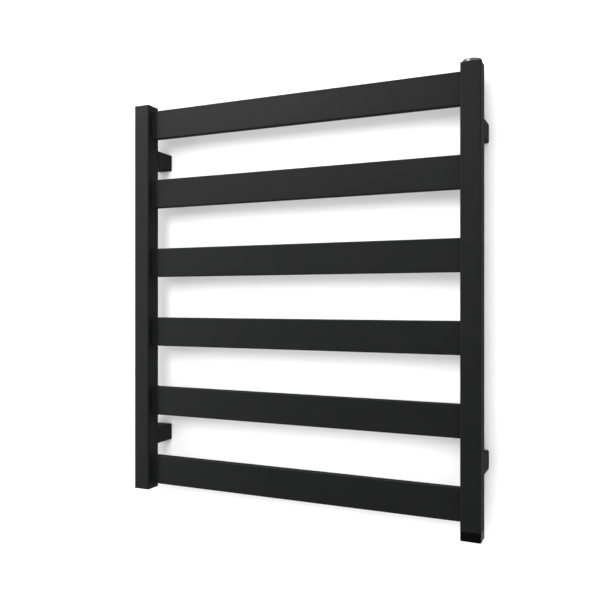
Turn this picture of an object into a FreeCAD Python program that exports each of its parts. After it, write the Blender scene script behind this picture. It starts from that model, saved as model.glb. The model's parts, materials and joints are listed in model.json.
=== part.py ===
"""Electric towel warmer rack: two square uprights, six flat bars, four wall brackets,
a heating cartridge in the right upright, a control head below it and a vent plug on top.

Millimetres, +Z up, +X to the right as seen from the room, +Y towards the wall.
Origin: the middle of the four wall screws, on the wall plane.
"""

import FreeCAD
import Part
import math
import os

from FreeCAD import Vector

# ------------------------------------------------------------------ driving dimensions

# welded frame
RACK_WIDTH = 600.0
UPRIGHT_SIDE = 30.0
UPRIGHT_WALL = 1.5
UPRIGHT_CORNER = 2.5
BAR_COUNT = 6
BAR_PITCH = 121.0
BAR_HEIGHT = 50.0
BAR_DEPTH = 10.0
BAR_WALL = 1.2
BAR_CORNER = 2.0
BAR_SETBACK = 14.0            # from the uprights' fronts to the bars' fronts
PORT_R = 3.0                  # way for the liquid from each bar into an upright
PORT_RISE = 14.0              # from the bar's middle up to the port
END_MARGIN = 8.5              # from the outer bars' edges to the uprights' ends
END_PLATE = 2.0
PLATE_EASE = 0.6              # ground edge of the plates that close the uprights
WALL_GAP = 72.0               # from the wall to the uprights' fronts

# wall brackets
BRACKET_SPACING = 492.0       # between the upper and the lower wall screws
SLEEVE_SIDE = 29.0
SLEEVE_WALL = 2.0
SLEEVE_CORNER = 2.0
SLEEVE_EASE = 0.4
SLEEVE_NOSE = 3.0             # closed end of the sleeve, towards the upright
SLEEVE_WALL_CLEARANCE = 0.3
FOOT_SLACK = 0.3
FOOT_LENGTH = 16.0
FOOT_BASE = 6.0
WALL_SCREW_R = 2.75           # hole for a 5 mm screw
WALL_SCREW_HEAD_R = 5.5
BUSH_R = 4.5
BUSH_FLANGE_R = 6.5
BUSH_FLANGE = 0.8
BUSH_LENGTH = 8.5
BRACKET_BOLT_R = 3.0          # M6
BRACKET_BOLT_LENGTH = 9.5
BOLT_HEAD_R = 5.25
BOLT_HEAD = 3.2
BOLT_CROWN_R = 3.7
BOLT_SOCKET = 4.0             # hexagon, across flats
BOLT_SOCKET_DEPTH = 2.1
SLEEVE_SCREW_R = 2.0          # M4 grub screw
SLEEVE_SCREW_LENGTH = 4.0
SLEEVE_SCREW_SOCKET = 2.0
SLEEVE_SCREW_Y = -9.0

# threaded sockets, G 1/2, with the threads drawn plain
SOCKET_R = 10.5
THREAD_R = 10.4
SOCKET_LENGTH = 12.0
THREAD_RUNOUT = 1.0           # the male threads end this far short of the sockets
SOCKET_RECESS = 27.5          # from the right upright's lower end up to the bottom socket

# vent plug
VENT_SEAL = 0.6
VENT_SEAL_R = 13.0
VENT_HEAD = 4.6
VENT_HEAD_R = 14.0
VENT_DOME = 0.5
VENT_EDGE = 1.0
VENT_FOOT_EASE = 0.3
AIR_WAY_R = 0.75
AIR_WAY_RISE = 1.5            # from the plug's seat up to the air way
BLEED_R = 3.0
BLEED_HEAD_R = 4.2
BLEED_RECESS_R = 4.6
BLEED_RECESS = 1.8
BLEED_LENGTH = 13.0
BLEED_TIP_R = 1.0
BLEED_CONE = 2.0              # height of the screw's seating cone
BLEED_SLOT = 0.9
BLEED_SLOT_DEPTH = 0.7
O_RING_ABOVE_TIP = 5.0
O_RING_GROOVE = 0.6           # depth
O_RING_CORD_R = 0.27
O_RING_REST = 0.02            # gap between the ring and the bottom of its groove

# heating cartridge
SHEATH_R = 5.5
SHEATH_WALL = 0.8
SHEATH_LENGTH = 420.0
CARTRIDGE_SEAL = 1.0
CARTRIDGE_COLLAR_R = 12.5
CARTRIDGE_COLLAR = 2.0
CARTRIDGE_HEX = 22.0
CARTRIDGE_HEX_LENGTH = 6.0
CORE_LENGTH = 370.0
CUTOUT_LENGTH = 16.0
CUTOUT_BELOW_CORE = 4.0
LEAD_R = 0.7
LEAD_OFFSET = 3.6

# control head
HEAD_HEIGHT = 14.5            # part below the upright
HEAD_EASE = 0.8
HEAD_JOINT_EASE = 0.2
HEAD_BORE = 24.0
HEAD_SPIGOT = 16.0            # part inside the upright
HEAD_SPIGOT_SIDE = 26.6
SPIGOT_CORNER = 1.0
COVER_SIDE = 26.4
COVER_RECESS_SIDE = 26.8
COVER_THICKNESS = 2.0
COVER_CORNER = 1.3
COVER_EASE = 0.3
POST_SIDE = 4.0
POST_OFFSET = 10.0
BOARD_SIDE = 22.0
BOARD_THICKNESS = 1.2
BOARD_ABOVE_JOINT = 1.0       # from the upright's lower end up to the board
BOARD_CORNERS = ((-1, -1), (1, 1))         # the posts that hold the board
COVER_CORNERS = ((-1, 1), (1, -1))         # the posts that hold the cover
SMALL_SCREW_R = 0.8
SMALL_SCREW_LENGTH = 7.0
SMALL_HEAD_R = 1.7
SMALL_HEAD = 1.0
CROSS_SPAN = 2.0              # cross recess of the cover's screws
CROSS_SLOT = 0.5
CROSS_DEPTH = 0.6
TERMINAL_SIZE = (13.0, 7.0, 8.0)
TERMINAL_Y = 1.0
RELAY_SIZE = (12.0, 7.0, 7.5)
RELAY_Y = -6.8
LIGHT_SIDE = 2.4
LIGHT_HEIGHT = 1.2
LIGHT_Y = -9.0
LENS_R = 1.2
HEAD_SCREW_R = 1.5
HEAD_SCREW_LENGTH = 4.5
HEAD_SCREW_ABOVE_JOINT = 8.0
GLAND_BORE_R = 3.4
GLAND_R = 4.2
GLAND_FLANGE_R = 5.2
GLAND_FLANGE = 1.2
GLAND_EASE = 0.5
GLAND_BELOW_JOINT = 5.2

# power key
KEY_R = 5.0
KEY_PROUD = 0.5
KEY_TRAVEL = 0.8
KEY_FLANGE_R = 6.2
KEY_FLANGE = 1.0
KEY_STEM_R = 2.0
KEY_DISH = 0.15               # hollow of the key's face
KEY_FLAT_R = 3.75             # bottom of the hollow
KEY_RIM_R = 4.5               # most raised ring of the face
KEY_SHOULDER_R = 4.75
KEY_REST_GAP = 0.1
SWITCH_SIDE = 6.0
SWITCH_HEIGHT = 3.4
SWITCH_ROOF = 0.8
PLUNGER_R = 1.7
SPRING_R = 2.55
SPRING_WIRE_R = 0.3
SPRING_TURNS = 5

# gaps
SLIP = 0.3                    # between pieces that move past each other
FIT = 0.06                    # radial, in guided fits
SAME = 1e-6                   # heights and reaches this close count as equal

# ------------------------------------------------------------------ places worked out

UPRIGHT_X = (RACK_WIDTH - UPRIGHT_SIDE) / 2
UPRIGHT_Y = -WALL_GAP + UPRIGHT_SIDE / 2
UPRIGHT_BACK = -WALL_GAP + UPRIGHT_SIDE
UPRIGHT_BORE = UPRIGHT_SIDE - 2 * UPRIGHT_WALL
HALF_HEIGHT = (BAR_COUNT - 1) * BAR_PITCH / 2 + BAR_HEIGHT / 2 + END_MARGIN
BAR_Y = -WALL_GAP + BAR_SETBACK + BAR_DEPTH / 2
BAR_HEIGHTS = [((BAR_COUNT - 1) / 2 - index) * BAR_PITCH for index in range(BAR_COUNT)]
BRACKETS = {
    "upper_left": (-UPRIGHT_X, BRACKET_SPACING / 2),
    "upper_right": (UPRIGHT_X, BRACKET_SPACING / 2),
    "lower_left": (-UPRIGHT_X, -BRACKET_SPACING / 2),
    "lower_right": (UPRIGHT_X, -BRACKET_SPACING / 2),
}
SLEEVE_END = UPRIGHT_BACK + BUSH_FLANGE
JOINT_Z = -HALF_HEIGHT                     # where the control head meets the upright
SOCKET_Z = JOINT_Z + SOCKET_RECESS
HEAD_BOTTOM = JOINT_Z - HEAD_HEIGHT
COVER_TOP = HEAD_BOTTOM + COVER_THICKNESS
BOARD_Z = JOINT_Z + BOARD_ABOVE_JOINT
SWITCH_BOTTOM = BOARD_Z - SWITCH_HEIGHT
HEAD_SCREW_Z = JOINT_Z + HEAD_SCREW_ABOVE_JOINT
GLAND_Z = JOINT_Z - GLAND_BELOW_JOINT

X = Vector(1, 0, 0)
Y = Vector(0, 1, 0)
Z = Vector(0, 0, 1)
ORIGIN = Vector(0, 0, 0)

nodes = {}


# ------------------------------------------------------------------ small helpers

def add(name, *solids):
    """Keep one node: a single solid, or a group of separate equal ones."""
    nodes[name] = solids[0] if len(solids) == 1 else Part.makeCompound(list(solids))


def moved(shape, x=0.0, y=0.0, z=0.0):
    result = shape.copy()
    result.translate(Vector(x, y, z))
    return result


def in_right_upright(shape):
    """Place a shape built about the Z axis on the right upright's own axis."""
    return moved(shape, UPRIGHT_X, UPRIGHT_Y)


def rod(radius, low, high, x=0.0, y=0.0):
    """Round rod along Z between two heights."""
    return Part.makeCylinder(radius, high - low, Vector(x, y, low), Z)


def ring(outer, inner, low, high):
    return rod(outer, low, high).cut(rod(inner, low, high))


def rod_y(radius, near_wall, far, x, z):
    """Round rod along Y between two distances, x and z being its axis."""
    return Part.makeCylinder(radius, near_wall - far, Vector(x, far, z), Y)


def block(across, deep, low, high, corner=0.0, x=0.0, y=0.0):
    """Upright rectangular block with rounded vertical edges."""
    solid = Part.makeBox(across, deep, high - low, Vector(x - across / 2, y - deep / 2, low))
    if corner:
        upright_edges = [
            edge for edge in solid.Edges
            if abs(edge.Vertexes[0].Z - edge.Vertexes[-1].Z) > (high - low) / 2
        ]
        solid = solid.makeFillet(corner, upright_edges)
    return solid


def pipe(across, deep, low, high, corner, wall):
    """Upright rectangular tube."""
    outer = block(across, deep, low, high, corner)
    return outer.cut(block(across - 2 * wall, deep - 2 * wall, low, high, corner - wall))


def laid_along_x(shape):
    """Turn a shape from Z to X, keeping its depth along Y."""
    result = shape.copy()
    result.rotate(ORIGIN, Y, 90)
    return result


def laid_along_y(shape):
    """Turn a shape from Z to -Y, so that it grows from the wall into the room."""
    result = shape.copy()
    result.rotate(ORIGIN, X, 90)
    return result


def turned(profile):
    """Solid of revolution about Z from (radius, height) corners."""
    corners = [Vector(radius, 0, height) for radius, height in profile]
    face = Part.Face(Part.makePolygon(corners + corners[:1]))
    return face.revolve(ORIGIN, Z, 360)


def eased(shape, height, radius, half_side):
    """Round the outer edges that lie at one height, on or beyond half_side from the axis."""
    edges = []
    for edge in shape.Edges:
        bounds = edge.BoundBox
        flat = abs(bounds.ZMin - height) < SAME and abs(bounds.ZMax - height) < SAME
        reach = max(abs(bounds.XMin), abs(bounds.XMax), abs(bounds.YMin), abs(bounds.YMax))
        if flat and reach > half_side - SAME:
            edges.append(edge)
    return shape.makeFillet(radius, edges)


def hexagon(across_flats, low, high):
    radius = across_flats / math.sqrt(3)
    turns = [math.radians(60 * index) for index in range(7)]
    corners = [Vector(radius * math.cos(t), radius * math.sin(t), low) for t in turns]
    return Part.Face(Part.makePolygon(corners)).extrude(Vector(0, 0, high - low))


# ------------------------------------------------------------------ welded frame

def upright(side, low, high):
    """Square tube with a port for each bar and a hole for each bracket bush."""
    shape = pipe(UPRIGHT_SIDE, UPRIGHT_SIDE, low, high, UPRIGHT_CORNER, UPRIGHT_WALL)
    shape = moved(shape, side * UPRIGHT_X, UPRIGHT_Y)
    inner_face = side * (RACK_WIDTH / 2 - UPRIGHT_SIDE)
    for height in BAR_HEIGHTS:
        start = Vector(inner_face - UPRIGHT_WALL - SLIP, BAR_Y, height + PORT_RISE)
        port_length = 2 * (UPRIGHT_WALL + SLIP)
        shape = shape.cut(Part.makeCylinder(PORT_R, port_length, start, X))
    inside = UPRIGHT_BACK - 2 * UPRIGHT_WALL
    for height in (BRACKET_SPACING / 2, -BRACKET_SPACING / 2):
        shape = shape.cut(rod_y(BUSH_R, UPRIGHT_BACK, inside, side * UPRIGHT_X, height))
    return shape


def make_frame():
    add("left_upright", upright(-1, -HALF_HEIGHT + END_PLATE, HALF_HEIGHT - END_PLATE))
    right = upright(1, JOINT_Z, HALF_HEIGHT - END_PLATE)
    inside = UPRIGHT_BACK - 2 * UPRIGHT_WALL
    screw_hole = rod_y(HEAD_SCREW_R + FIT, UPRIGHT_BACK, inside, UPRIGHT_X, HEAD_SCREW_Z)
    add("right_upright", right.cut(screw_hole))
    inner_end = HALF_HEIGHT - END_PLATE
    for name, low, outer_end in (
        ("left_top_plate", inner_end, HALF_HEIGHT),
        ("left_bottom_plate", -HALF_HEIGHT, -HALF_HEIGHT),
    ):
        plate = block(UPRIGHT_SIDE, UPRIGHT_SIDE, low, low + END_PLATE, UPRIGHT_CORNER)
        plate = eased(plate, outer_end, PLATE_EASE, UPRIGHT_SIDE / 2 - UPRIGHT_CORNER)
        add(name, moved(plate, -UPRIGHT_X, UPRIGHT_Y))
    reach = RACK_WIDTH / 2 - UPRIGHT_SIDE
    bar = laid_along_x(pipe(BAR_HEIGHT, BAR_DEPTH, -reach, reach, BAR_CORNER, BAR_WALL))
    for index, height in enumerate(BAR_HEIGHTS):
        add(f"bar_{index + 1}", moved(bar, 0, BAR_Y, height))


def make_sockets():
    """Threaded plates welded into the right upright."""
    under_plate = HALF_HEIGHT - END_PLATE
    top = block(UPRIGHT_SIDE, UPRIGHT_SIDE, under_plate, HALF_HEIGHT, UPRIGHT_CORNER)
    top = eased(top, HALF_HEIGHT, PLATE_EASE, UPRIGHT_SIDE / 2 - UPRIGHT_CORNER)
    top = top.fuse(rod(UPRIGHT_BORE / 2 - FIT, HALF_HEIGHT - SOCKET_LENGTH, under_plate))
    top = top.cut(rod(SOCKET_R, HALF_HEIGHT - SOCKET_LENGTH, HALF_HEIGHT))
    add("top_socket", in_right_upright(top))
    top_of_bottom = SOCKET_Z + SOCKET_LENGTH
    inner_corner = UPRIGHT_CORNER - UPRIGHT_WALL
    bottom = block(UPRIGHT_BORE, UPRIGHT_BORE, SOCKET_Z, top_of_bottom, inner_corner)
    bottom = bottom.cut(rod(SOCKET_R, SOCKET_Z, top_of_bottom))
    add("bottom_socket", in_right_upright(bottom))


# ------------------------------------------------------------------ wall brackets

def sleeve():
    """Square sleeve, open to the wall, closed towards the upright, with its screw hole."""
    end = -SLEEVE_END
    bore = SLEEVE_SIDE - 2 * SLEEVE_WALL
    shape = block(SLEEVE_SIDE, SLEEVE_SIDE, SLEEVE_WALL_CLEARANCE, end, SLEEVE_CORNER)
    for height in (SLEEVE_WALL_CLEARANCE, end):
        shape = eased(shape, height, SLEEVE_EASE, SLEEVE_SIDE / 2 - SLEEVE_CORNER)
    shape = shape.cut(block(bore, bore, 0, end - SLEEVE_NOSE))
    shape = shape.cut(rod(BRACKET_BOLT_R + SLIP, end - SLEEVE_NOSE, end))
    shape = laid_along_y(shape)
    return shape.cut(rod(SLEEVE_SCREW_R + FIT, -SLEEVE_SIDE / 2, -bore / 2, 0, SLEEVE_SCREW_Y))


def foot():
    """Square plug screwed to the wall, with a sunk hole for the screw's head."""
    side = SLEEVE_SIDE - 2 * SLEEVE_WALL - 2 * FOOT_SLACK
    shape = block(side, side, 0, FOOT_LENGTH, FOOT_SLACK)
    shape = shape.cut(rod(WALL_SCREW_R, 0, FOOT_LENGTH))
    shape = shape.cut(rod(WALL_SCREW_HEAD_R, FOOT_BASE, FOOT_LENGTH))
    shape = laid_along_y(shape)
    dimple_top = -SLEEVE_SIDE / 2 + SLEEVE_SCREW_LENGTH + SLIP
    return shape.cut(rod(SLEEVE_SCREW_R + FIT, -side / 2, dimple_top, 0, SLEEVE_SCREW_Y))


def bush():
    """Blind threaded bush welded into the upright's back."""
    flange_top = -SLEEVE_END
    shape = rod(BUSH_R, flange_top + BUSH_FLANGE, flange_top + BUSH_LENGTH)
    shape = shape.fuse(rod(BUSH_FLANGE_R, flange_top, flange_top + BUSH_FLANGE))
    end = flange_top + BUSH_LENGTH - UPRIGHT_WALL
    return laid_along_y(shape.cut(rod(BRACKET_BOLT_R + FIT, flange_top, end)))


def bracket_bolt():
    """Button-headed bolt through the sleeve's nose into the bush."""
    seat = -SLEEVE_END - SLEEVE_NOSE
    crown = seat - BOLT_HEAD
    head = turned([
        (0, seat), (BOLT_HEAD_R, seat), (BOLT_HEAD_R, seat - BOLT_HEAD / 2),
        (BOLT_CROWN_R, crown), (0, crown),
    ])
    shank = rod(BRACKET_BOLT_R, seat, seat + BRACKET_BOLT_LENGTH)
    socket = hexagon(BOLT_SOCKET, crown, crown + BOLT_SOCKET_DEPTH)
    return laid_along_y(head.fuse(shank).cut(socket))


def sleeve_screw():
    """Grub screw with a hexagon socket, driven upwards through the sleeve."""
    low = -SLEEVE_SIDE / 2 + SLIP
    screw = rod(SLEEVE_SCREW_R, low, -SLEEVE_SIDE / 2 + SLEEVE_SCREW_LENGTH)
    socket = hexagon(SLEEVE_SCREW_SOCKET, low, low + SLEEVE_SCREW_SOCKET)
    return moved(screw.cut(socket), y=SLEEVE_SCREW_Y)


def make_brackets():
    for place, (x, z) in BRACKETS.items():
        add(f"{place}_bracket_sleeve", moved(sleeve(), x, 0, z))
        add(f"{place}_wall_foot", moved(foot(), x, 0, z))
    for name, shape in (
        ("bracket_bushes", bush()),
        ("bracket_bolts", bracket_bolt()),
        ("sleeve_grub_screws", sleeve_screw()),
    ):
        add(name, *[moved(shape, x, 0, z) for x, z in BRACKETS.values()])


# ------------------------------------------------------------------ vent plug

def make_vent():
    """Round plug on the right upright, with a slotted bleed screw in its middle."""
    seat = HALF_HEIGHT + VENT_SEAL
    top = seat + VENT_HEAD
    recess = top - BLEED_RECESS
    tip = HALF_HEIGHT - SOCKET_LENGTH + THREAD_RUNOUT
    dome_r = (VENT_HEAD_R ** 2 + VENT_DOME ** 2) / (2 * VENT_DOME)
    head = rod(VENT_HEAD_R, seat, top + VENT_DOME)
    head = head.common(moved(Part.makeSphere(dome_r), z=top - dome_r))
    head = eased(head, top - VENT_DOME, VENT_EDGE, VENT_HEAD_R)
    head = eased(head, seat, VENT_FOOT_EASE, VENT_HEAD_R)
    plug = head.fuse(rod(THREAD_R, tip, seat))
    plug = plug.cut(rod(BLEED_R + FIT, tip, top)).cut(rod(BLEED_RECESS_R, recess, top))
    air_way = rod_y(AIR_WAY_R, VENT_HEAD_R, 0, 0, seat + AIR_WAY_RISE)
    add("vent_plug", in_right_upright(plug.cut(air_way)))
    add("vent_plug_seal", in_right_upright(ring(VENT_SEAL_R, SOCKET_R, HALF_HEIGHT, seat)))

    head_low = recess + SLIP
    head_top = top - VENT_DOME
    shank_low = head_low - BLEED_LENGTH
    groove_low = shank_low + O_RING_ABOVE_TIP
    groove_top = groove_low + 3 * O_RING_CORD_R
    groove_r = BLEED_R - O_RING_GROOVE
    screw = turned([
        (0, shank_low), (BLEED_TIP_R, shank_low), (BLEED_R, shank_low + BLEED_CONE),
        (BLEED_R, groove_low), (groove_r, groove_low), (groove_r, groove_top), (BLEED_R, groove_top),
        (BLEED_R, head_low), (BLEED_HEAD_R, head_low), (BLEED_HEAD_R, head_top - FIT),
        (BLEED_HEAD_R - FIT, head_top), (0, head_top),
    ])
    slot = block(2 * BLEED_RECESS_R, BLEED_SLOT, head_top - BLEED_SLOT_DEPTH, head_top)
    add("bleed_screw", in_right_upright(screw.cut(slot)))
    o_ring_middle = Vector(0, 0, (groove_low + groove_top) / 2)
    o_ring = Part.makeTorus(groove_r + O_RING_CORD_R + O_RING_REST, O_RING_CORD_R, o_ring_middle, Z)
    add("bleed_screw_o_ring", in_right_upright(o_ring))


# ------------------------------------------------------------------ heating cartridge

def make_cartridge():
    """Heater in a steel sheath, screwed up into the bottom socket."""
    seal_low = SOCKET_Z - CARTRIDGE_SEAL
    collar_low = seal_low - CARTRIDGE_COLLAR
    hex_low = collar_low - CARTRIDGE_HEX_LENGTH
    add("cartridge_seal", in_right_upright(ring(CARTRIDGE_COLLAR_R, SOCKET_R, seal_low, SOCKET_Z)))
    head = hexagon(CARTRIDGE_HEX, hex_low, collar_low)
    head = head.fuse(rod(CARTRIDGE_COLLAR_R, collar_low, seal_low))
    head = head.fuse(rod(THREAD_R, seal_low, SOCKET_Z + SOCKET_LENGTH - THREAD_RUNOUT))
    head = head.cut(rod(SHEATH_R + FIT, hex_low, SOCKET_Z + SOCKET_LENGTH))
    add("cartridge_head", in_right_upright(head))

    bore = SHEATH_R - SHEATH_WALL
    nose = hex_low + SHEATH_LENGTH - SHEATH_R
    sheath = rod(SHEATH_R, hex_low, nose).fuse(Part.makeSphere(SHEATH_R, Vector(0, 0, nose)))
    sheath = sheath.cut(rod(bore, hex_low, nose - SHEATH_WALL))
    add("cartridge_sheath", in_right_upright(sheath))
    core_top = nose - 2 * SHEATH_WALL
    core_low = core_top - CORE_LENGTH
    add("heating_core", in_right_upright(rod(bore - FIT, core_low, core_top)))
    cutout_r = LEAD_OFFSET - LEAD_R - SLIP
    cutout_top = core_low - CUTOUT_BELOW_CORE
    add("thermal_cutout", in_right_upright(rod(cutout_r, cutout_top - CUTOUT_LENGTH, cutout_top)))
    terminal_top = BOARD_Z + BOARD_THICKNESS + TERMINAL_SIZE[2]
    leads = [rod(LEAD_R, terminal_top, core_low, side * LEAD_OFFSET) for side in (-1, 1)]
    add("heater_leads", *[in_right_upright(lead) for lead in leads])


# ------------------------------------------------------------------ control head

def gland_hole(radius):
    """Round way through the control head's back wall."""
    return rod_y(radius, UPRIGHT_SIDE / 2, HEAD_BORE / 2 - GLAND_FLANGE, 0, GLAND_Z)


def make_control_shell():
    """Square cap under the upright, with a spigot that slides into it."""
    shell = block(UPRIGHT_SIDE, UPRIGHT_SIDE, HEAD_BOTTOM, JOINT_Z, UPRIGHT_CORNER)
    shell = eased(shell, HEAD_BOTTOM, HEAD_EASE, UPRIGHT_SIDE / 2 - UPRIGHT_CORNER)
    shell = eased(shell, JOINT_Z, HEAD_JOINT_EASE, UPRIGHT_SIDE / 2 - UPRIGHT_CORNER)
    spigot_top = JOINT_Z + HEAD_SPIGOT
    shell = shell.fuse(block(HEAD_SPIGOT_SIDE, HEAD_SPIGOT_SIDE, JOINT_Z, spigot_top, SPIGOT_CORNER))
    shell = shell.cut(block(HEAD_BORE, HEAD_BORE, HEAD_BOTTOM, spigot_top, SPIGOT_CORNER / 2))
    recess_corner = COVER_CORNER + (COVER_RECESS_SIDE - COVER_SIDE) / 2
    shell = shell.cut(block(COVER_RECESS_SIDE, COVER_RECESS_SIDE, HEAD_BOTTOM, COVER_TOP, recess_corner))
    for side_x, side_y in BOARD_CORNERS + COVER_CORNERS:
        x, y = side_x * POST_OFFSET, side_y * POST_OFFSET
        shell = shell.fuse(block(POST_SIDE + FIT, POST_SIDE + FIT, COVER_TOP, BOARD_Z, 0, x, y))
        shell = shell.cut(rod(SMALL_SCREW_R + FIT, COVER_TOP, BOARD_Z, x, y))
    shell = shell.cut(gland_hole(GLAND_R))
    screw_hole = rod_y(HEAD_SCREW_R + SLIP, UPRIGHT_SIDE / 2, 0, 0, HEAD_SCREW_Z)
    add("control_head_shell", in_right_upright(shell.cut(screw_hole)))


def sunk_screw(slack):
    """Countersunk screw driven up into a post, or with slack its hole in the cover."""
    face = HEAD_BOTTOM + (0 if slack else FIT)
    neck = face + SMALL_HEAD
    top = COVER_TOP if slack else HEAD_BOTTOM + SMALL_SCREW_LENGTH
    return turned([
        (0, face), (SMALL_HEAD_R + 2 * slack, face), (SMALL_SCREW_R + slack, neck),
        (SMALL_SCREW_R + slack, top), (0, top),
    ])


def make_cover():
    """Cover plate of the control head, with its two screws."""
    cover = block(COVER_SIDE, COVER_SIDE, HEAD_BOTTOM, COVER_TOP, COVER_CORNER)
    cover = eased(cover, HEAD_BOTTOM, COVER_EASE, COVER_SIDE / 2 - COVER_CORNER)
    cover = cover.cut(rod(KEY_R + SLIP, HEAD_BOTTOM, COVER_TOP))
    cover = cover.cut(rod(LENS_R + FIT, HEAD_BOTTOM, COVER_TOP, 0, LIGHT_Y))
    cross_top = HEAD_BOTTOM + CROSS_DEPTH
    cross = block(CROSS_SPAN, CROSS_SLOT, HEAD_BOTTOM, cross_top)
    cross = cross.fuse(block(CROSS_SLOT, CROSS_SPAN, HEAD_BOTTOM, cross_top))
    screws = []
    for side_x, side_y in COVER_CORNERS:
        x, y = side_x * POST_OFFSET, side_y * POST_OFFSET
        cover = cover.cut(moved(sunk_screw(FIT), x, y))
        screws.append(in_right_upright(moved(sunk_screw(0).cut(cross), x, y)))
    add("control_head_cover", in_right_upright(cover))
    add("cover_screws", *screws)


def make_power_key():
    """Round key in the cover, the switch plunger on its stem, the switch and the spring."""
    face = HEAD_BOTTOM - KEY_PROUD
    flange_low = COVER_TOP + KEY_REST_GAP
    flange_top = flange_low + KEY_FLANGE
    stem_top = SWITCH_BOTTOM - KEY_TRAVEL - SLIP
    key = turned([
        (0, face + KEY_DISH), (KEY_FLAT_R, face + KEY_DISH / 3), (KEY_RIM_R, face),
        (KEY_SHOULDER_R, face + KEY_DISH / 2), (KEY_R, face + 2 * KEY_DISH), (KEY_R, flange_low),
        (KEY_FLANGE_R, flange_low), (KEY_FLANGE_R, flange_top), (KEY_STEM_R, flange_top),
        (KEY_STEM_R, stem_top), (0, stem_top),
    ])
    add("power_key", in_right_upright(key))
    bore_top = BOARD_Z - SWITCH_ROOF
    plunger_top = bore_top - KEY_TRAVEL - SLIP
    add("switch_plunger", in_right_upright(rod(PLUNGER_R, stem_top, plunger_top)))
    switch = block(SWITCH_SIDE, SWITCH_SIDE, SWITCH_BOTTOM, BOARD_Z)
    switch = switch.cut(rod(PLUNGER_R + FIT, SWITCH_BOTTOM, bore_top))
    add("tact_switch", in_right_upright(switch))

    margin = SPRING_WIRE_R + KEY_REST_GAP
    low = flange_top + margin
    height = SWITCH_BOTTOM - margin - low
    pitch = height / SPRING_TURNS
    along_wire = Vector(0, SPRING_R, pitch / (2 * math.pi))
    section = Part.Wire(Part.makeCircle(SPRING_WIRE_R, Vector(SPRING_R, 0, 0), along_wire))
    coil = Part.Wire(Part.makeHelix(pitch, height, SPRING_R)).makePipeShell([section], True, True)
    add("key_spring", in_right_upright(moved(coil, z=low)))


def make_electronics():
    """Board with its screws, relay, terminal block, status light and light pipe."""
    board_top = BOARD_Z + BOARD_THICKNESS
    board = block(BOARD_SIDE, BOARD_SIDE, BOARD_Z, board_top)
    screws = []
    for side_x, side_y in BOARD_CORNERS:
        x, y = side_x * POST_OFFSET, side_y * POST_OFFSET
        board = board.cut(rod(SMALL_SCREW_R + FIT, BOARD_Z, board_top, x, y))
        shank = rod(SMALL_SCREW_R, board_top + SMALL_HEAD - SMALL_SCREW_LENGTH, board_top, x, y)
        head = rod(SMALL_HEAD_R, board_top, board_top + SMALL_HEAD, x, y)
        screws.append(in_right_upright(shank.fuse(head)))
    add("circuit_board", in_right_upright(board))
    add("board_screws", *screws)
    for name, size, y in (("relay", RELAY_SIZE, RELAY_Y), ("terminal_block", TERMINAL_SIZE, TERMINAL_Y)):
        across, deep, high = size
        add(name, in_right_upright(block(across, deep, board_top, board_top + high, 0, 0, y)))
    light_low = BOARD_Z - LIGHT_HEIGHT
    light = block(LIGHT_SIDE, LIGHT_SIDE, light_low, BOARD_Z, 0, 0, LIGHT_Y)
    add("status_light", in_right_upright(light))
    add("status_light_lens", in_right_upright(rod(LENS_R, HEAD_BOTTOM, light_low - SLIP, 0, LIGHT_Y)))


def make_gland_and_screw():
    """Rubber cable gland in the back of the head, and the screw that holds the head."""
    outside = UPRIGHT_SIDE / 2
    inside = HEAD_BORE / 2
    face = outside + GLAND_FLANGE
    gland = eased(rod(GLAND_FLANGE_R, outside, face), face, GLAND_EASE, GLAND_FLANGE_R)
    gland = gland.fuse(rod(GLAND_R, inside, outside))
    gland = gland.fuse(rod(GLAND_FLANGE_R, inside - GLAND_FLANGE, inside))
    gland = gland.cut(rod(GLAND_BORE_R, inside - GLAND_FLANGE, face))
    gland.rotate(ORIGIN, X, -90)
    add("cable_gland", in_right_upright(moved(gland, z=GLAND_Z)))
    face = outside - SLIP
    screw = rod_y(HEAD_SCREW_R, face, face - HEAD_SCREW_LENGTH, 0, HEAD_SCREW_Z)
    socket = hexagon(HEAD_SCREW_R, 0, HEAD_SCREW_R)
    socket.rotate(ORIGIN, X, 90)
    add("control_head_grub_screw", in_right_upright(screw.cut(moved(socket, 0, face, HEAD_SCREW_Z))))


# ------------------------------------------------------------------ build and write

make_frame()
make_sockets()
make_brackets()
make_vent()
make_cartridge()
make_control_shell()
make_cover()
make_power_key()
make_electronics()
make_gland_and_screw()

os.makedirs("parts", exist_ok=True)
for name, shape in nodes.items():
    if not shape.isValid():
        raise ValueError(f"{name} is not a valid shape")
    shape.exportStep(f"parts/{name}.step")
    print(f"{name}: {len(shape.Solids)} solid(s), {shape.Volume / 1000:.2f} cm3")
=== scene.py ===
# %% [markdown]
# # A wall-hung towel warmer
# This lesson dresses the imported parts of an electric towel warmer: two square uprights joined by six
# flat bars, held off a wall by four square sleeves, with a chrome vent plug on top of the right
# upright and a gloss black control head below it. The parts already have their true size, so the
# work here is in their finishes, the weld beads between them, the light and the camera.

import json
import math

import bpy
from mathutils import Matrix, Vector, noise


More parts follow.
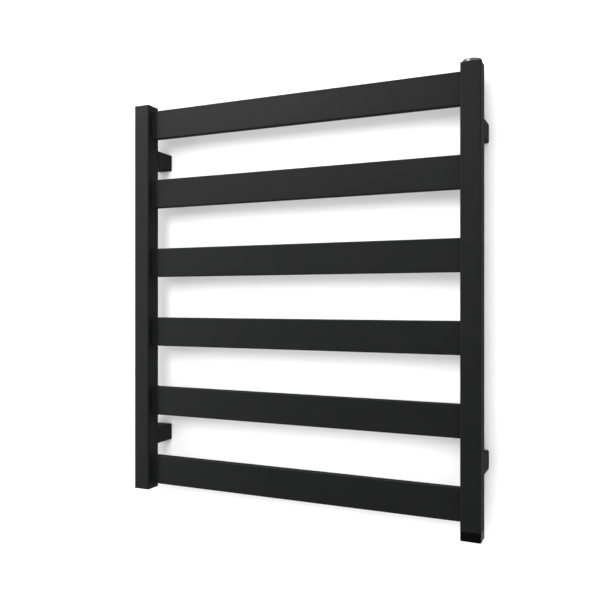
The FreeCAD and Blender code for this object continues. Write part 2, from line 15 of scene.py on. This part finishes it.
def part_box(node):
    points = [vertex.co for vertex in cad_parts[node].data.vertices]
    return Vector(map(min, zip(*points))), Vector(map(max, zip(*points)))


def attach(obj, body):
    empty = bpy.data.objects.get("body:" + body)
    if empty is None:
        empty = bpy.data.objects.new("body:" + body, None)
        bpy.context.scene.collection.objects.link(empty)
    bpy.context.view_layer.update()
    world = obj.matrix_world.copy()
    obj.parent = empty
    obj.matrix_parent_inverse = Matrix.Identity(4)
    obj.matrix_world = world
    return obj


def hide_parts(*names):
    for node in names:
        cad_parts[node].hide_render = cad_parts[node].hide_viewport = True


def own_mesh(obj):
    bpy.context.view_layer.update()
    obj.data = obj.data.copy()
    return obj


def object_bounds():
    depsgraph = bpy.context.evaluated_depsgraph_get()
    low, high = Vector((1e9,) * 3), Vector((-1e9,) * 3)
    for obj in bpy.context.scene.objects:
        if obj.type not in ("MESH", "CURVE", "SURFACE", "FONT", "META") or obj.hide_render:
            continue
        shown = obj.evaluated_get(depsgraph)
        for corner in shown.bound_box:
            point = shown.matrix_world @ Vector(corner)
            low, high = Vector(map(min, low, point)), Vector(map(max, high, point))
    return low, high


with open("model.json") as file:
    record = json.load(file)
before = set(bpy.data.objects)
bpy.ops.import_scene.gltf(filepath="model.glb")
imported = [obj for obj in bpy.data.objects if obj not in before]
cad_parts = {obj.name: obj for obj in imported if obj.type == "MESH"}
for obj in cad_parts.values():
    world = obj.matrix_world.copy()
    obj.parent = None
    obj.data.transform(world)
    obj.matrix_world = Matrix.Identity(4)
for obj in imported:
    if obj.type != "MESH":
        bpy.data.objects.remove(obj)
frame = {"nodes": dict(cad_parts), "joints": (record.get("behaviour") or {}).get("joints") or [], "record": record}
nodes = frame["nodes"]
record = frame["record"]
cad_low, cad_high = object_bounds()
BODY = "rack"
print("nodes", len(nodes), "box", [round(v, 4) for v in cad_low], [round(v, 4) for v in cad_high])

# %% [markdown]
# ## Where we stand
# A camera is a place, a direction and a lens. The rack is looked at from a metre in front of it, a
# little to its right and level with its middle, so the bars run away to the left and every
# upright stays upright in the picture. A level camera keeps verticals parallel; tilting it would
# make them lean together.

# %% Camera
CAMERA_PLACE = Vector((0.4735, -1.0901, -0.005))
CAMERA_TURN = math.radians(24.04)
LENS_MM = 42.41
SENSOR_MM = 36.0

lens = bpy.data.cameras.new("standpoint")
lens.lens = LENS_MM
lens.sensor_width = SENSOR_MM
camera = bpy.data.objects.new("standpoint", lens)
camera.location = CAMERA_PLACE
camera.rotation_euler = (math.pi / 2, 0.0, CAMERA_TURN)
bpy.context.scene.collection.objects.link(camera)
bpy.context.scene.camera = camera
print("camera", [round(v, 3) for v in camera.location], "lens", LENS_MM)

# %% [markdown]
# ## Arithmetic for finishes
# A finish is a small network of nodes. Long networks are easier to read as sums, so a value inside
# a network is wrapped in one class whose plus, minus, times and divide add the matching Math node.
# Colours never go through those nodes, because Math turns a colour grey; they go through Mix.

# %% Signal, Network and Finish
class Signal:
    """One value in a node network, ready for arithmetic."""

    def __init__(self, network, socket):
        self.network = network
        self.socket = socket

    def _math(self, operation, first, second):
        return self.network.node("Math", {"operation": operation}, {0: first, 1: second})

    def __add__(self, other):
        return self._math("ADD", self, other)

    def __radd__(self, other):
        return self._math("ADD", other, self)

    def __sub__(self, other):
        return self._math("SUBTRACT", self, other)

    def __rsub__(self, other):
        return self._math("SUBTRACT", other, self)

    def __mul__(self, other):
        return self._math("MULTIPLY", self, other)

    def __rmul__(self, other):
        return self._math("MULTIPLY", other, self)

    def __truediv__(self, other):
        return self._math("DIVIDE", self, other)

    def __pow__(self, other):
        return self._math("POWER", self, other)

    def clipped(self):
        """The same value kept between 0 and 1."""
        return self.network.node("Clamp", {}, {"Value": self})


class Network:
    """The node tree of a material or of the room, and one way to add any node to it."""

    def __init__(self, owner):
        owner.use_nodes = True
        self.tree = owner.node_tree

    def feed(self, socket, value):
        if isinstance(value, Signal):
            self.tree.links.new(value.socket, socket)
        else:
            socket.default_value = value

    def node(self, kind, settings, inputs, output=0):
        made = self.tree.nodes.new("ShaderNode" + kind)
        for name, value in settings.items():
            setattr(made, name, value)
        for name, value in inputs.items():
            self.feed(made.inputs[name], value)
        return Signal(self, made.outputs[output])


class Finish(Network):
    """A material with one surface shader."""

    def __init__(self, name):
        self.material = bpy.data.materials.new(name)
        super().__init__(self.material)
        self.shader = self.tree.nodes["Principled BSDF"]

    def surface(self, values):
        for name, value in values.items():
            self.feed(self.shader.inputs[name], value)
        return self.material


print("helpers ready:", Signal.__name__, Finish.__name__)

# %% [markdown]
# ## Grain, hollows and rubbed edges
# Real surfaces are never one flat colour. Three helpers give every finish its detail: grain is
# noise of a known size in metres, raised turns a height into a surface that catches light, and
# rubbed finds the places where the surface turns a corner, where coatings lie thinner and hands
# and cloths polish them.

# %% Detail helpers
WEAR_SAMPLES = 4
WEAR_GAIN = 3.0


def grain(finish, size, detail=2.0, stretch=(1.0, 1.0, 1.0)):
    """Noise with features of a given size in metres, longer along a direction with stretch < 1."""
    place = finish.node("TexCoord", {}, {}, "Object")
    scaled = finish.node("Mapping", {}, {"Vector": place, "Scale": stretch})
    return finish.node("TexNoise", {}, {"Vector": scaled, "Scale": 1 / size, "Detail": detail})


def mixed(finish, share, first, second):
    """A colour between two others."""
    return finish.node("Mix", {"data_type": "RGBA"}, {0: share, 6: first, 7: second}, 2)


def raised(finish, height, depth):
    """The surface direction after adding a height of so many metres."""
    return finish.node("Bump", {}, {"Height": height, "Distance": depth, "Strength": 1.0})


def rubbed(finish, reach):
    """0 on a flat face, rising towards 1 within reach of an edge."""
    rounded = finish.node("Bevel", {"samples": WEAR_SAMPLES}, {"Radius": reach})
    plain = finish.node("NewGeometry", {}, {}, "Normal")
    agree = finish.node("VectorMath", {"operation": "DOT_PRODUCT"}, {0: rounded, 1: plain}, "Value")
    return ((1 - agree) * WEAR_GAIN).clipped()


print("detail helpers ready")

# %% [markdown]
# ## Black powder coat
# The rack is dipped in nothing and brushed with nothing: dry black powder is blown onto it and
# baked until it flows. What is left is a satin skin with a soft orange-peel swell a millimetre or
# two across, a much finer tooth on top, and slow drifts in gloss where the layer is thicker. It
# lies thinnest on the edges, which shine a little more.

# %% Powder coat
COAT_BLACK = (0.0056, 0.0064, 0.0060, 1.0)
COAT_GREY = (0.0072, 0.0080, 0.0076, 1.0)
COAT_EDGE = (0.030, 0.031, 0.0305, 1.0)
SWELL_SIZE = 0.0018
TOOTH_SIZE = 0.00035
DRIFT_SIZE = 0.06
COAT_EDGE_REACH = 0.0008
PEEL_DEPTH = 0.00011


def powder_coat():
    coat = Finish("baked_black_powder_coat")
    swell = grain(coat, SWELL_SIZE)
    tooth = grain(coat, TOOTH_SIZE)
    drift = grain(coat, DRIFT_SIZE, 3.0)
    edge = rubbed(coat, COAT_EDGE_REACH)
    flat_colour = mixed(coat, drift, COAT_BLACK, COAT_GREY)
    return coat.surface({
        "Base Color": mixed(coat, edge * (0.35 + 0.5 * swell), flat_colour, COAT_EDGE),
        "Roughness": 0.33 + 0.10 * drift + 0.04 * tooth - 0.05 * edge,
        "Normal": raised(coat, swell * 0.8 + tooth * 0.2, PEEL_DEPTH),
    })


finishes = {"black_powder_coat": powder_coat()}
print("made", list(finishes))

# %% [markdown]
# ## Gloss black moulding
# The control head is a small injection moulding with a polished face. It mirrors the room, so its
# colour hardly matters and its faint waviness does: a moulding cools unevenly, and wiping it
# leaves hair-fine marks that only show in a highlight. A clear hard coat over the black nearly
# doubles the mirror at its surface.

# %% Gloss plastic
GLOSS_BLACK = (0.0015, 0.0015, 0.0016, 1.0)
GLOSS_RUBBED = (0.008, 0.008, 0.0085, 1.0)
SINK_SIZE = 0.009
SINK_DEPTH = 0.00003
WIPE_WIDTH = 0.0009
WIPES_UPRIGHT = (1.0, 1.0, 0.12)


def gloss_moulding():
    shell = Finish("gloss_black_moulding")
    sink = grain(shell, SINK_SIZE, 1.0)
    wipes = grain(shell, WIPE_WIDTH, 3.0, WIPES_UPRIGHT)
    edge = rubbed(shell, 0.0006)
    return shell.surface({
        "Base Color": mixed(shell, edge * 0.6, GLOSS_BLACK, GLOSS_RUBBED),
        "Roughness": 0.06 + 0.06 * wipes + 0.10 * edge,
        "Coat Weight": 1.0,
        "Normal": raised(shell, sink, SINK_DEPTH),
    })


finishes["gloss_black_plastic"] = gloss_moulding()
print("made", finishes["gloss_black_plastic"].name)

# %% [markdown]
# ## Chrome
# The vent plug is plated brass, buffed on a wheel. Chrome has next to no colour of its own, only a
# cold tint, and the buffing leaves rings too fine to see singly, which soften the highlight.

# %% Chrome
CHROME_CLEAN = (0.66, 0.67, 0.69, 1.0)
CHROME_FILMED = (0.56, 0.57, 0.59, 1.0)
BUFFING_SIZE = 0.0004
BUFFING_DEPTH = 0.000004
FILM_SIZE = 0.006


def chrome_plate():
    plate = Finish("buffed_chrome")
    buffing = grain(plate, BUFFING_SIZE, 2.0, (1.0, 0.3, 1.0))
    film = grain(plate, FILM_SIZE)
    edge = rubbed(plate, 0.0004)
    return plate.surface({
        "Base Color": mixed(plate, film * 0.5, CHROME_CLEAN, CHROME_FILMED),
        "Metallic": 1.0,
        "Roughness": 0.19 + 0.10 * film + 0.04 * buffing + 0.05 * edge,
        "Normal": raised(plate, buffing, BUFFING_DEPTH),
    })


finishes["polished_chrome"] = chrome_plate()
print("made", finishes["polished_chrome"].name)

# %% [markdown]
# ## Other metals
# Screws, bushes, sockets and the heating cartridge are plain metals that differ in three ways: the
# two colours they drift between, how dull they are, and how tools marked them. A turned or drawn
# part has fine lines along one direction, a casting has a pebbled skin, plating is smooth. One
# recipe with those choices as its values serves them all. Raw castings wear a dull skin of oxide,
# so they are only partly metal to the light.

# %% Metal recipe
STAIN_SIZE = 0.007
METAL_EDGE_REACH = 0.0005
POLISHED_GAIN = 1.25


def worked_metal(name, light, dark, clean, dull, line_size, stretch, depth):
    """A metal; clean is 1 for a bright surface and less for one under a skin of oxide."""
    metal = Finish(name)
    lines = grain(metal, line_size, 3.0, stretch)
    stain = grain(metal, STAIN_SIZE, 3.0)
    edge = rubbed(metal, METAL_EDGE_REACH)
    body = mixed(metal, stain, (*light, 1.0), (*dark, 1.0))
    bright = tuple(min(1.0, POLISHED_GAIN * part) for part in light)
    return metal.surface({
        "Base Color": mixed(metal, edge * 0.7, body, (*bright, 1.0)),
        "Metallic": clean,
        "Roughness": dull + 0.12 * stain + 0.08 * lines - 0.10 * edge,
        "Normal": raised(metal, lines, depth),
    })


TURNED = (1.0, 1.0, 8.0)
DRAWN = (1.0, 1.0, 0.08)
EVEN = (1.0, 1.0, 1.0)
metals = (
    ("bare_steel", (0.44, 0.43, 0.41), (0.30, 0.29, 0.28), 0.9, 0.30, 0.0012, TURNED, 0.00001),
    ("cast_zinc", (0.47, 0.47, 0.48), (0.34, 0.34, 0.35), 0.4, 0.46, 0.0007, EVEN, 0.00005),
    ("blackened_screws", (0.055, 0.055, 0.058), (0.030, 0.030, 0.032), 0.7, 0.30, 0.0005, EVEN, 0.00001),
    ("zinc_plated_steel", (0.60, 0.62, 0.64), (0.52, 0.51, 0.45), 1.0, 0.24, 0.0010, TURNED, 0.00001),
    ("brass", (0.72, 0.54, 0.26), (0.58, 0.41, 0.19), 1.0, 0.26, 0.0012, TURNED, 0.00001),
    ("stainless_steel", (0.56, 0.55, 0.53), (0.47, 0.46, 0.44), 1.0, 0.26, 0.0008, DRAWN, 0.00001),
)
for slot, *choices in metals:
    finishes[slot] = worked_metal("worked_" + slot, *choices)
print("made", [row[0] for row in metals])

# %% [markdown]
# ## Mouldings, rubber and ceramic
# The rest are soft-lustre materials that are not metal: a matte key, nylon screw blocks, rubber
# seals, a ceramic core, silicone-covered leads. They share one recipe too. A mould that was spark
# eroded leaves a fine even grain, rubber has a coarser one with a greyish bloom in its hollows.

# %% Moulding recipe
PATCH_SIZE = 0.005
MOULDED_EDGE_REACH = 0.0004


def moulding(name, colour, bloom, dull, grain_size, depth):
    """A soft-lustre skin that drifts from its own colour towards a paler bloom."""
    body = Finish(name)
    texture = grain(body, grain_size, 3.0)
    patches = grain(body, PATCH_SIZE, 3.0)
    edge = rubbed(body, MOULDED_EDGE_REACH)
    skin = mixed(body, patches * 0.7, (*colour, 1.0), (*bloom, 1.0))
    return body.surface({
        "Base Color": mixed(body, edge * 0.4, skin, (*bloom, 1.0)),
        "Roughness": dull + 0.14 * texture - 0.08 * edge,
        "Normal": raised(body, texture, depth),
    })


mouldings = (
    ("black_rubber", (0.016, 0.016, 0.016), (0.034, 0.033, 0.032), 0.62, 0.0004, 0.00003),
    ("key_plastic", (0.024, 0.024, 0.026), (0.040, 0.040, 0.043), 0.40, 0.00025, 0.00002),
    ("switch_plastic", (0.050, 0.050, 0.054), (0.085, 0.085, 0.090), 0.42, 0.0004, 0.00002),
    ("ceramic", (0.80, 0.77, 0.72), (0.66, 0.62, 0.56), 0.62, 0.0006, 0.00004),
    ("lead_insulation", (0.50, 0.08, 0.06), (0.40, 0.06, 0.05), 0.45, 0.0005, 0.00001),
    ("terminal_plastic", (0.70, 0.70, 0.67), (0.60, 0.59, 0.54), 0.38, 0.0005, 0.00001),
)
for slot, *choices in mouldings:
    finishes[slot] = moulding("moulded_" + slot, *choices)
print("made", [row[0] for row in mouldings])

# %% [markdown]
# ## Circuit board
# A board is woven glass cloth pressed in green resin. Two sets of fine waves at right angles, one
# along each side of the board, stand for the cloth that shows through the lacquer.

# %% Board laminate
WAVES_PER_METRE = 1 / 0.0035
RESIN_DARK = (0.010, 0.10, 0.045, 1.0)
RESIN_PALE = (0.018, 0.15, 0.07, 1.0)


def woven_laminate():
    board = Finish("woven_green_laminate")
    place = board.node("TexCoord", {}, {}, "Object")
    threads = {"Vector": place, "Scale": WAVES_PER_METRE}
    warp = board.node("TexWave", {"bands_direction": "X"}, threads)
    weft = board.node("TexWave", {"bands_direction": "Y"}, threads)
    cloth = warp * weft
    return board.surface({
        "Base Color": mixed(board, cloth, RESIN_DARK, RESIN_PALE),
        "Roughness": 0.22 + 0.10 * cloth,
        "Coat Weight": 0.3,
        "Normal": raised(board, cloth, 0.00001),
    })


finishes["board_laminate"] = woven_laminate()
print("made", finishes["board_laminate"].name)

# %% [markdown]
# ## Light pipe
# The status light is a short rod of clear plastic beside the key. Most light passes through it, and
# its flow lines and a frosted end show only as small changes in roughness.

# %% Clear light pipe
PIPE_CLEAR = (0.78, 0.85, 0.88, 1.0)
PIPE_MILKY = (0.70, 0.76, 0.80, 1.0)
FLOW_LINES = (1.0, 1.0, 0.2)


def clear_pipe():
    pipe = Finish("frosted_light_pipe")
    flow = grain(pipe, 0.0007, 2.0, FLOW_LINES)
    return pipe.surface({
        "Base Color": mixed(pipe, flow, PIPE_CLEAR, PIPE_MILKY),
        "Roughness": 0.12 + 0.20 * flow,
        "Transmission Weight": 0.85,
        "IOR": 1.49,
        "Normal": raised(pipe, flow, 0.00001),
    })


finishes["clear_light_pipe"] = clear_pipe()
print("made", finishes["clear_light_pipe"].name)

# %% [markdown]
# ## Dress every part
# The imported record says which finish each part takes. Giving the parts their finish from that list,
# and not by hand, means that no part can be forgotten.

# %% Assign the finishes
for part in record["subparts"]:
    for holder in nodes[part["node"]].material_slots:
        holder.material = finishes[part["material_slot"]]
print("dressed", len(record["subparts"]), "parts in", len(finishes), "finishes")

# %% [markdown]
# ## From corners to an object
# The parts that follow are shapes of their own. Each is worked out as a list of corners and a list
# of faces that join them, and one helper turns those lists into an object in the scene.

# %% Mesh helper
def mesh_object(name, verts, faces, material):
    mesh = bpy.data.meshes.new(name)
    mesh.from_pydata(verts, [], faces)
    mesh.materials.append(material)
    made = bpy.data.objects.new(name, mesh)
    bpy.context.scene.collection.objects.link(made)
    return made


print("mesh helper ready")

# %% [markdown]
# ## Weld beads
# Each bar butts against the inner side of an upright and is welded all round. Under the powder the
# weld is still there as a narrow ridge with a soft ripple where each spot of metal froze. It is
# real shape, so it is built as mesh: a small rounded section carried once round the bar's rounded
# outline, its leg swelling and shrinking a little on the way.

# %% Outline of a bar
BAR_CORNER = 0.002
CORNER_STEPS = 10
STRAIGHT_STEP = 0.0003


def bar_outline(low, high):
    """Points round a bar's cross-section with the outward direction at each, as (y, z) pairs."""
    points = []
    corners = (
        (high.y - BAR_CORNER, high.z - BAR_CORNER, 0),
        (low.y + BAR_CORNER, high.z - BAR_CORNER, 90),
        (low.y + BAR_CORNER, low.z + BAR_CORNER, 180),
        (high.y - BAR_CORNER, low.z + BAR_CORNER, 270),
    )
    for index, (y, z, start) in enumerate(corners):
        for step in range(CORNER_STEPS + 1):
            turn = math.radians(start + 90 * step / CORNER_STEPS)
            out = Vector((math.cos(turn), math.sin(turn)))
            points.append((Vector((y, z)) + BAR_CORNER * out, out))
        here, out = points[-1]
        next_y, next_z, next_start = corners[(index + 1) % len(corners)]
        turn = math.radians(next_start)
        there = Vector((next_y, next_z)) + BAR_CORNER * Vector((math.cos(turn), math.sin(turn)))
        count = max(1, round((there - here).length / STRAIGHT_STEP))
        for step in range(1, count):
            points.append((here.lerp(there, step / count), out))
    return points


sample = bar_outline(*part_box("bar_1"))
print("outline points", len(sample))

# %% Bead mesh
BEAD_SLOT = "black_powder_coat"
BEAD_LEG = 0.0013
BEAD_BITE = 0.0002
BEAD_FULLNESS = 1.5
BEAD_ARC_STEPS = 7
RIPPLE_PITCH = 0.0016
RIPPLE_SHARE = 0.045
WANDER_SIZE = 0.006
WANDER_SHARE = 0.12


def weld_bead(name, bar, side):
    """One bead between the bar's end and the upright; side is -1 for the left end, 1 for the right."""
    low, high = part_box(bar)
    face = high.x if side > 0 else low.x
    outline = bar_outline(low, high)
    travelled = 0.0
    verts = []
    for index, (point, out) in enumerate(outline):
        travelled += (point - outline[index - 1][0]).length if index else 0.0
        wander = noise.noise(Vector((face, point.x, point.y)) / WANDER_SIZE)
        ripple = math.sin(2 * math.pi * (travelled / RIPPLE_PITCH + wander))
        leg = BEAD_LEG * (1 + RIPPLE_SHARE * ripple + WANDER_SHARE * wander)
        section = [(-BEAD_BITE, -BEAD_BITE), (leg, -BEAD_BITE)]
        for step in range(BEAD_ARC_STEPS + 1):
            turn = math.pi / 2 * step / BEAD_ARC_STEPS
            section.append((leg * math.cos(turn) ** BEAD_FULLNESS, leg * math.sin(turn) ** BEAD_FULLNESS))
        section.append((-BEAD_BITE, leg))
        for off, along in section:
            spot = point + off * out
            verts.append((face - side * along, spot.x, spot.y))
    wide = len(section)
    rings = len(outline)
    faces = []
    for ring in range(rings):
        after = (ring + 1) % rings
        for step in range(wide):
            following = (step + 1) % wide
            here, there = ring * wide, after * wide
            quad = (here + step, here + following, there + following, there + step)
            faces.append(quad if side > 0 else quad[::-1])
    bead = mesh_object(name, verts, faces, finishes[BEAD_SLOT])
    bead.data.shade_smooth()
    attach(bead, BODY)
    return bead


bars = sorted(name for name in nodes if name.startswith("bar_"))
beads = []
for bar in bars:
    beads.append(weld_bead("weld_bead_left_" + bar, bar, -1))
    beads.append(weld_bead("weld_bead_right_" + bar, bar, 1))
print("weld beads", len(beads), "quads each", len(beads[0].data.polygons))

# %% [markdown]
# ## Key spring
# Behind the power key sits a small coil spring that gives when the key is pressed. Its wire is
# wound with its last turns lying flat, so that it stands square. It is the one part that changes
# length, so it is made again here as a wire carried along a coil. The key's travel is read from
# the joint, but nothing yet shortens the coil with it.

# %% Key spring
SPRING_NODE = "key_spring"
SPRING_SLOT = "zinc_plated_steel"
SPRING_WIRE_R = 0.0003
SPRING_TURNS = 5.0
FLAT_TURNS = 0.8
STEPS_PER_TURN = 40
WIRE_SIDES = 14


def coil_point(centre, radius, bottom, top, turns):
    """A point on the middle line of the wire after so many turns from its lower end."""
    share = (turns - FLAT_TURNS) / (SPRING_TURNS - 2 * FLAT_TURNS)
    share = min(1.0, max(0.0, share))
    turn = 2 * math.pi * turns
    lift = bottom + (top - bottom) * share
    return Vector((centre.x + radius * math.cos(turn), centre.y + radius * math.sin(turn), lift))


def coil_spring():
    low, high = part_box(SPRING_NODE)
    centre = (low + high) / 2
    radius = (high.x - low.x) / 2 - SPRING_WIRE_R
    ends = low.z + SPRING_WIRE_R, high.z - SPRING_WIRE_R
    count = round(SPRING_TURNS * STEPS_PER_TURN)
    turns = [SPRING_TURNS * step / count for step in range(count + 1)]
    line = [coil_point(centre, radius, *ends, turned) for turned in turns]
    verts = []
    for index, spot in enumerate(line):
        ahead = line[min(index + 1, count)] - line[max(index - 1, 0)]
        out = Vector((spot.x - centre.x, spot.y - centre.y, 0.0)).normalized()
        up = ahead.normalized().cross(out)
        for side in range(WIRE_SIDES):
            turn = 2 * math.pi * side / WIRE_SIDES
            verts.append(spot + SPRING_WIRE_R * (math.cos(turn) * out + math.sin(turn) * up))
    faces = []
    for ring in range(count):
        for side in range(WIRE_SIDES):
            following = (side + 1) % WIRE_SIDES
            here, there = ring * WIRE_SIDES, (ring + 1) * WIRE_SIDES
            faces.append((here + side, here + following, there + following, there + side))
    faces.append(tuple(reversed(range(WIRE_SIDES))))
    faces.append(tuple(range(count * WIRE_SIDES, (count + 1) * WIRE_SIDES)))
    coil = mesh_object("key_spring_coil", verts, faces, finishes[SPRING_SLOT])
    coil.data.shade_smooth()
    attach(coil, BODY)
    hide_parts(SPRING_NODE)
    press = next(joint for joint in frame["joints"] if joint["name"] == "power_key_press")
    keep = 1 - press["range_m"][1] / (high.z - low.z)
    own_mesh(coil)
    return coil


spring = coil_spring()
print("spring", len(spring.data.polygons), "faces, height mm", round(1000 * spring.dimensions.z, 2))

# %% [markdown]
# ## Wall and floor
# The rack hangs on a plain white wall above a pale floor. The wall is there to carry the soft
# shadows of the bars, and it is painted on one side only, so that somebody behind it still sees the
# rack. For the same reason it takes no part in bounces and throws no shadow: the light of the room
# reaches the backs of the bars too. Coatings that mirror the wall see it dimmer than the eye does,
# which keeps the narrow sides of the bars and sleeves as dark as they are over a shaded wall.

# %% Stage
WALL_GAP = 0.0006
FLOOR_Z = -0.9
STAGE_HALF = 8.0
WALL_SEEN = (0.92, 0.92, 0.92, 1.0)
WALL_MIRRORED = (0.105, 0.105, 0.105, 1.0)
FLOOR_GREY = (0.78, 0.78, 0.78, 1.0)
FLOOR_PALE = (0.82, 0.82, 0.82, 1.0)
CLOUD_SIZE = 0.4


def wall_paint():
    paint = Finish("white_wall_paint")
    mirrored = paint.node("LightPath", {}, {}, "Is Glossy Ray")
    paint.surface({
        "Base Color": mixed(paint, mirrored, WALL_SEEN, WALL_MIRRORED),
        "Roughness": 0.9,
        "Specular IOR Level": 0.0,
    })
    behind = paint.node("NewGeometry", {}, {}, "Backfacing")
    clear = paint.node("BsdfTransparent", {}, {})
    painted = Signal(paint, paint.shader.outputs[0])
    shown = paint.node("MixShader", {}, {0: behind, 1: painted, 2: clear})
    paint.tree.links.new(shown.socket, paint.tree.nodes["Material Output"].inputs["Surface"])
    return paint.material


def floor_paint():
    paint = Finish("pale_floor_paint")
    cloud = grain(paint, CLOUD_SIZE)
    return paint.surface({
        "Base Color": mixed(paint, cloud, FLOOR_GREY, FLOOR_PALE),
        "Roughness": 0.8,
        "Specular IOR Level": 0.1,
    })


SHEET_FACE = [(0, 1, 2, 3)]
LEFT, RIGHT = -STAGE_HALF, STAGE_HALF
wall_y = cad_high.y + WALL_GAP
wall_corners = [
    (LEFT, wall_y, FLOOR_Z), (RIGHT, wall_y, FLOOR_Z),
    (RIGHT, wall_y, STAGE_HALF), (LEFT, wall_y, STAGE_HALF),
]
floor_corners = [
    (LEFT, -STAGE_HALF, FLOOR_Z), (RIGHT, -STAGE_HALF, FLOOR_Z),
    (RIGHT, STAGE_HALF, FLOOR_Z), (LEFT, STAGE_HALF, FLOOR_Z),
]
wall = mesh_object("wall", wall_corners, SHEET_FACE, wall_paint())
floor = mesh_object("floor", floor_corners, SHEET_FACE, floor_paint())
floor.visible_glossy = False
wall.visible_diffuse = False
wall.visible_shadow = False
print("stage", wall.name, floor.name, "at y", round(wall_y, 4), "and z", FLOOR_Z)

# %% [markdown]
# ## Light
# A black object is drawn by what it reflects, and its shadow by what it hides, so the two jobs get
# lamps of their own. One soft square just above the viewer throws the short shadows on the wall and
# stays out of every reflection. Two boxes far off on the left light nothing and are only mirrored:
# the upper one lays the sheen on the top bars that fades downwards, the tall one lifts the left
# upright. The room adds an even glow. In reflections it is darker below than above, which is what
# shapes polished parts, and the eye sees it as plain white.

# %% Lights
def soft_box(name, place, width, height, watts, colour, sheen_only):
    """A rectangle of light aimed at the rack, which either lights surfaces or lays sheen on them."""
    glow = bpy.data.lights.new(name, "AREA")
    glow.shape = "RECTANGLE"
    glow.size = width
    glow.size_y = height
    glow.energy = watts
    glow.color = colour
    box = bpy.data.objects.new(name, glow)
    box.location = place
    box.rotation_euler = (-Vector(place)).to_track_quat("-Z", "Y").to_euler()
    box.visible_camera = False
    box.visible_glossy = sheen_only
    box.visible_diffuse = not sheen_only
    bpy.context.scene.collection.objects.link(box)
    return box


WHITE_LIGHT = (1.0, 1.0, 1.0)
WARM_LIGHT = (1.0, 0.985, 0.965)
soft_box("shadow_light", (0.05, -1.6, 0.55), 0.7, 0.7, 17.0, WHITE_LIGHT, False)
soft_box("upper_sheen", (-1.95, -3.1, 2.2), 1.1, 1.2, 18.0, WARM_LIGHT, True)
soft_box("side_sheen", (-3.3, -2.8, 0.1), 2.0, 3.6, 16.0, WHITE_LIGHT, True)

# %% Room glow
ROOM_GLOW = 1.35
CEILING_MIRRORED = 0.68
FALL_OFF = 3.0
SEEN_WHITE = 1.0

room = bpy.data.worlds.new("room")
glow = Network(room)
background = room.node_tree.nodes["Background"]
direction = glow.node("TexCoord", {}, {}, "Generated")
upward = glow.node("SeparateXYZ", {}, {0: direction}, "Z")
mirrored = CEILING_MIRRORED * ((1 + upward) / 2) ** FALL_OFF
is_mirrored = glow.node("LightPath", {}, {}, "Is Glossy Ray")
is_seen = glow.node("LightPath", {}, {}, "Is Camera Ray")
lit = ROOM_GLOW + (mirrored - ROOM_GLOW) * is_mirrored
glow.feed(background.inputs["Strength"], lit + (SEEN_WHITE - lit) * is_seen)
background.inputs["Color"].default_value = (1.0, 1.0, 1.0, 1.0)
bpy.context.scene.world = room
bpy.context.scene.view_settings.view_transform = "Standard"
print("room glow", ROOM_GLOW)
